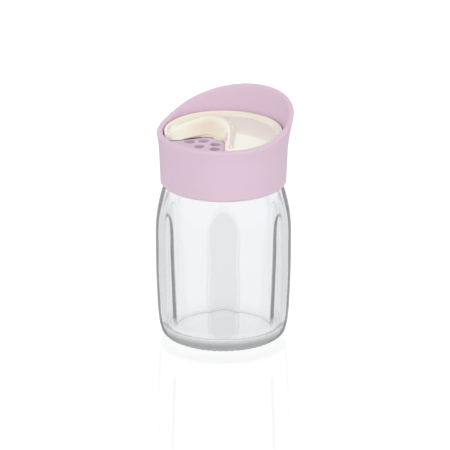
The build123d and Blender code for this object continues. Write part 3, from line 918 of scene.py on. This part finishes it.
def dial_edge():
    """The dial's plan, once round: the rim and then the window."""
    side, front = WINDOW[-1][0], WINDOW[0][1]
    first = math.atan2(-math.sqrt(DIAL_RADIUS**2 - side**2), side)
    last = math.pi - math.asin(front / DIAL_RADIUS)
    rim = arc((0, 0), DIAL_RADIUS, math.degrees(first), math.degrees(last), RIM_POINTS)
    left = np.stack([np.linspace(rim[-1, 0], WINDOW[0][0], 20), np.full(20, front)], axis=1)
    bend = smooth_line(WINDOW, 90, start=(1, 0), end=(0, -1))
    down = np.stack([np.full(40, side), np.linspace(WINDOW[-1][1], rim[0, 1], 40)], axis=1)
    edge = joined(rim, left, bend, down)[:-1]
    return edge, np.arange(len(edge)) >= RIM_POINTS


def dial_top_rings(edge, from_window, edge_round):
    """Rings from the dial's edge in to the fan's middle, over rim, dish and ridge, and their painted pink
    reflection and shade.
    """
    crest = smooth_line(CREST, 1000)
    window = edge[from_window]
    line = smooth_line(DIAL_LINE, 240, start=(0, 1), end=(-1, 0))
    centre = np.array(FAN_CENTRE)
    reach = np.linalg.norm(centre - edge, axis=1)
    insets = [np.full(len(edge), inset) for inset in EDGE_RINGS]
    insets += [insets[-1] + (reach - insets[-1]) * share for share in np.linspace(0, 1, 80)[1:-1]]
    rings, painted_shades = [], []
    for inset in insets:
        plan = edge + (centre - edge) * (inset / reach)[:, None]
        radius = np.linalg.norm(plan, axis=1)
        dish = np.interp(-radius, -line[:, 0], line[:, 1])
        level = np.clip((DISH_FADE[0] - radius) / DISH_FADE[1], 0, 1)
        dish += DISH_TILT * (plan[:, 1] + DISH_LEVEL) * level**2 * (3 - 2 * level)
        height, painted_tone = ridge_height(plan, dish, crest, window)
        drop = edge_round * (1 - np.sqrt(1 - np.clip(1 - inset / (2 * edge_round), 0, 1) ** 2))
        rings.append(np.column_stack([plan, height - np.where(from_window, drop, 0)]))
        painted_shades.append(painted_tone)
    return rings, painted_shades


def half_post(turn):
    """One half of the split snap post."""
    rings = []
    for radius, z in POST:
        reach = math.degrees(math.acos(POST_SLIT / radius))
        flat = arc((0, 0), radius, turn - reach, turn + reach, 24)
        rings.append(np.column_stack([flat, np.full(24, z)]))
    rings = np.array(rings)
    return skin("half_post", rings, rings[0].mean(axis=0), rings[-1].mean(axis=0))


class SHAKER_OT_dial(bpy.types.Operator):
    """Build the selector dial with its ridge and window"""

    bl_idname = "shaker.dial"
    bl_label = "Selector dial"

    def execute(self, context):
        settings = context.scene.shaker_dial
        plastic = plastic_material("dial_gloss_plastic", settings.colour, settings.gloss, 1.0, 1.65,
                                   painted_shade_part=("ridge_warmth", settings.painted_shade_colour), cloud=0.012,
                                   grain_depth=0.03, wave_depth=0.02)
        edge, from_window = dial_edge()
        rings, painted_shades = dial_top_rings(edge, from_window, settings.edge_round / MM)
        inset = edge + (np.array(FAN_CENTRE) - edge) * 0.02
        under = [np.column_stack([plan, np.full(len(edge), DIAL_BOTTOM)]) for plan in (inset, edge)]
        poles = [(*FAN_CENTRE, height) for height in (DIAL_BOTTOM, FAN_HEIGHT)]
        dial = skin("dial_top", np.array(under + rings), *poles)
        painted_shades = np.concatenate([np.zeros(2 * len(edge)), *painted_shades, [0, 0]])
        mark(dial.data, "ridge_warmth", painted_shades)
        side = turned([(BOSS_RADIUS, height) for height in BOSS_HEIGHTS], 48)
        boss = skin("dial_boss", side, *((0, 0, height) for height in BOSS_HEIGHTS))
        dial = merged("dial_cream", [dial, boss, half_post(0.0), half_post(180.0)])
        smooth(dial.data, 50)
        finish_piece(dial, "dial", ["selector_dial"], plastic)
        return {"FINISHED"}


class SHAKER_OT_seal(bpy.types.Operator):
    """Build the seal ring under the deck"""

    bl_idname = "shaker.seal"
    bl_label = "Seal ring"

    def execute(self, context):
        rubber = plastic_material("seal_soft_rubber", (0.82, 0.82, 0.80, 1), 0.5, 0.0, cloud=0.02,
                                  grain_depth=0.2)
        (inner, outer), (low, high) = SEAL_RADII, SEAL_HEIGHTS
        corners = ((outer, low), (outer, high), (inner, high), (inner, low))
        line = joined(*(arc(corner, SEAL_ROUND, 90 * i - 90, 90 * i, 4) for i, corner in enumerate(corners)))
        seal = skin("seal_ring_soft", turned(line, 128))
        finish_piece(seal, "seal", ["seal_ring"], rubber)
        return {"FINISHED"}


# Studio

def seen_rays(tree, *kinds):
    """1 for the kinds of ray that see the white background."""
    path = put(tree, "ShaderNodeLightPath").outputs
    share = path["Is Camera Ray"]
    for kind in kinds:
        share = calc(tree, "MAXIMUM", share, path[kind])
    return share


def build_world(settings):
    """Even white light, and a white background for what is seen directly, in gloss and through glass."""
    world = bpy.data.worlds.new("studio_surround")
    bpy.context.scene.world = world
    world.use_nodes = True
    tree = world.node_tree
    tree.nodes.clear()
    lit = put(tree, "ShaderNodeBackground", {"Color": (1, 1, 1, 1), "Strength": settings.surround})
    seen = put(tree, "ShaderNodeBackground", {"Color": (1, 1, 1, 1), "Strength": 1.0})
    share = seen_rays(tree, "Is Glossy Ray", "Is Transmission Ray")
    mix = put(tree, "ShaderNodeMixShader", {0: share, 1: lit.outputs[0], 2: seen.outputs[0]})
    put(tree, "ShaderNodeOutputWorld", {"Surface": mix.outputs[0]})


def build_floor(settings):
    """A wide pale floor that renders white and keeps a soft shadow and a faint reflection."""
    mesh = bpy.data.meshes.new("floor")
    signs = ((-1, -1), (1, -1), (1, 1), (-1, 1))
    mesh.from_pydata([(x * FLOOR_HALF, y * FLOOR_HALF, FLOOR_HEIGHT) for x, y in signs], [], [(0, 1, 2, 3)])
    floor = link("floor", mesh)
    material, output = new_material("floor_white")
    tree = material.node_tree
    paper = put(tree, "ShaderNodeBsdfDiffuse", {"Color": (0.86, 0.86, 0.86, 1)})
    path = put(tree, "ShaderNodeLightPath").outputs
    extra = calc(tree, "MULTIPLY", path["Is Camera Ray"], CAMERA_GLOW)
    glow = calc(tree, "ADD", extra, settings.floor_white - CAMERA_GLOW)
    mirrored = calc(tree, "SUBTRACT", path["Is Glossy Ray"], path["Is Transmission Ray"])
    mirrored = calc(tree, "MAXIMUM", mirrored, 0.0)
    first = calc(tree, "LESS_THAN", path["Ray Depth"], 1.5)
    loss = calc(tree, "MULTIPLY", calc(tree, "MULTIPLY", mirrored, first), MIRROR_LOSS)
    glow = calc(tree, "SUBTRACT", glow, loss)
    white = put(tree, "ShaderNodeEmission", {"Color": (1, 1, 1, 1), "Strength": glow})
    seen = seen_rays(tree, "Is Glossy Ray", "Is Transmission Ray")
    share = calc(tree, "MULTIPLY", seen, 1 - settings.floor_shade)
    pale = put(tree, "ShaderNodeMixShader", {0: share, 1: paper.outputs[0], 2: white.outputs[0]})
    polish = put(tree, "ShaderNodeBsdfGlossy", {"Color": (1, 1, 1, 1), "Roughness": 0.04})
    sheen = calc(tree, "MULTIPLY", seen_rays(tree), settings.floor_polish)
    mix = put(tree, "ShaderNodeMixShader", {0: sheen, 1: pale.outputs[0], 2: polish.outputs[0]})
    tree.links.new(mix.outputs[0], output.inputs["Surface"])
    mesh.materials.append(material)


def add_lamp(name, place, size, power):
    """A square soft lamp aimed at the shaker's middle."""
    data = bpy.data.lights.new(name, "AREA")
    data.size = size
    data.energy = power
    lamp = link(name, data)
    lamp.location = place
    lamp.visible_glossy = lamp.visible_transmission = False
    lamp.rotation_mode = "QUATERNION"
    lamp.rotation_quaternion = (Vector(LAMP_TARGET) - Vector(place)).to_track_quat("-Z", "Y")


def add_camera():
    """The camera at the photograph's place."""
    elevation = math.radians(CAMERA_CLIMB)
    data = bpy.data.cameras.new("photo_camera")
    data.lens = CAMERA_LENS
    data.sensor_width = 36.0
    data.clip_start, data.clip_end = 0.1, 50.0
    camera = link("photo_camera", data)
    back = Vector((0, -math.cos(elevation), math.sin(elevation)))
    camera.location = Vector(CAMERA_TARGET) + back * CAMERA_DISTANCE
    camera.rotation_mode = "QUATERNION"
    camera.rotation_quaternion = (-back).to_track_quat("-Z", "Y")
    bpy.context.scene.camera = camera


class SHAKER_OT_stage(bpy.types.Operator):
    """Build the floor, the light and the camera"""

    bl_idname = "shaker.stage"
    bl_label = "Studio"

    def execute(self, context):
        settings = context.scene.shaker_stage
        build_world(settings)
        build_floor(settings)
        for name, lamp in LAMPS.items():
            add_lamp(name, *lamp)
        add_camera()
        context.scene.view_settings.view_transform = "Standard"
        return {"FINISHED"}


class SHAKER_PT_panel(bpy.types.Panel):
    """Sidebar panel with the shaker's pieces and settings"""

    bl_idname = "SHAKER_PT_panel"
    bl_label = "Spice Shaker"
    bl_space_type = "VIEW_3D"
    bl_region_type = "UI"
    bl_category = "Shaker"

    def draw(self, context):
        for operator in OPERATORS:
            self.layout.operator(operator.bl_idname)
        for name, group in GROUPS.items():
            box = self.layout.box()
            for key in group.__annotations__:
                box.prop(getattr(context.scene, name), key)


OPERATORS = (SHAKER_OT_jar, SHAKER_OT_cap, SHAKER_OT_dial, SHAKER_OT_seal, SHAKER_OT_stage)
GROUPS = {"shaker": ShakerSettings, "shaker_cap": CapSettings, "shaker_dial": DialSettings,
          "shaker_stage": StageSettings}


def register():
    """Adds the classes and the scene's settings."""
    for cls in (*GROUPS.values(), *OPERATORS, SHAKER_PT_panel):
        bpy.utils.register_class(cls)
    for name, group in GROUPS.items():
        setattr(bpy.types.Scene, name, bpy.props.PointerProperty(type=group))


def unregister():
    """Removes them again."""
    for name in GROUPS:
        delattr(bpy.types.Scene, name)
    for cls in (SHAKER_PT_panel, *OPERATORS[::-1], *list(GROUPS.values())[::-1]):
        bpy.utils.unregister_class(cls)


def main():
    """Registers the classes, and builds every piece and the studio."""
    register()
    moulded_group()
    bpy.ops.shaker.jar()
    bpy.ops.shaker.cap()
    bpy.ops.shaker.dial()
    bpy.ops.shaker.seal()
    bpy.ops.shaker.stage()


if __name__ == "__main__":
    main()
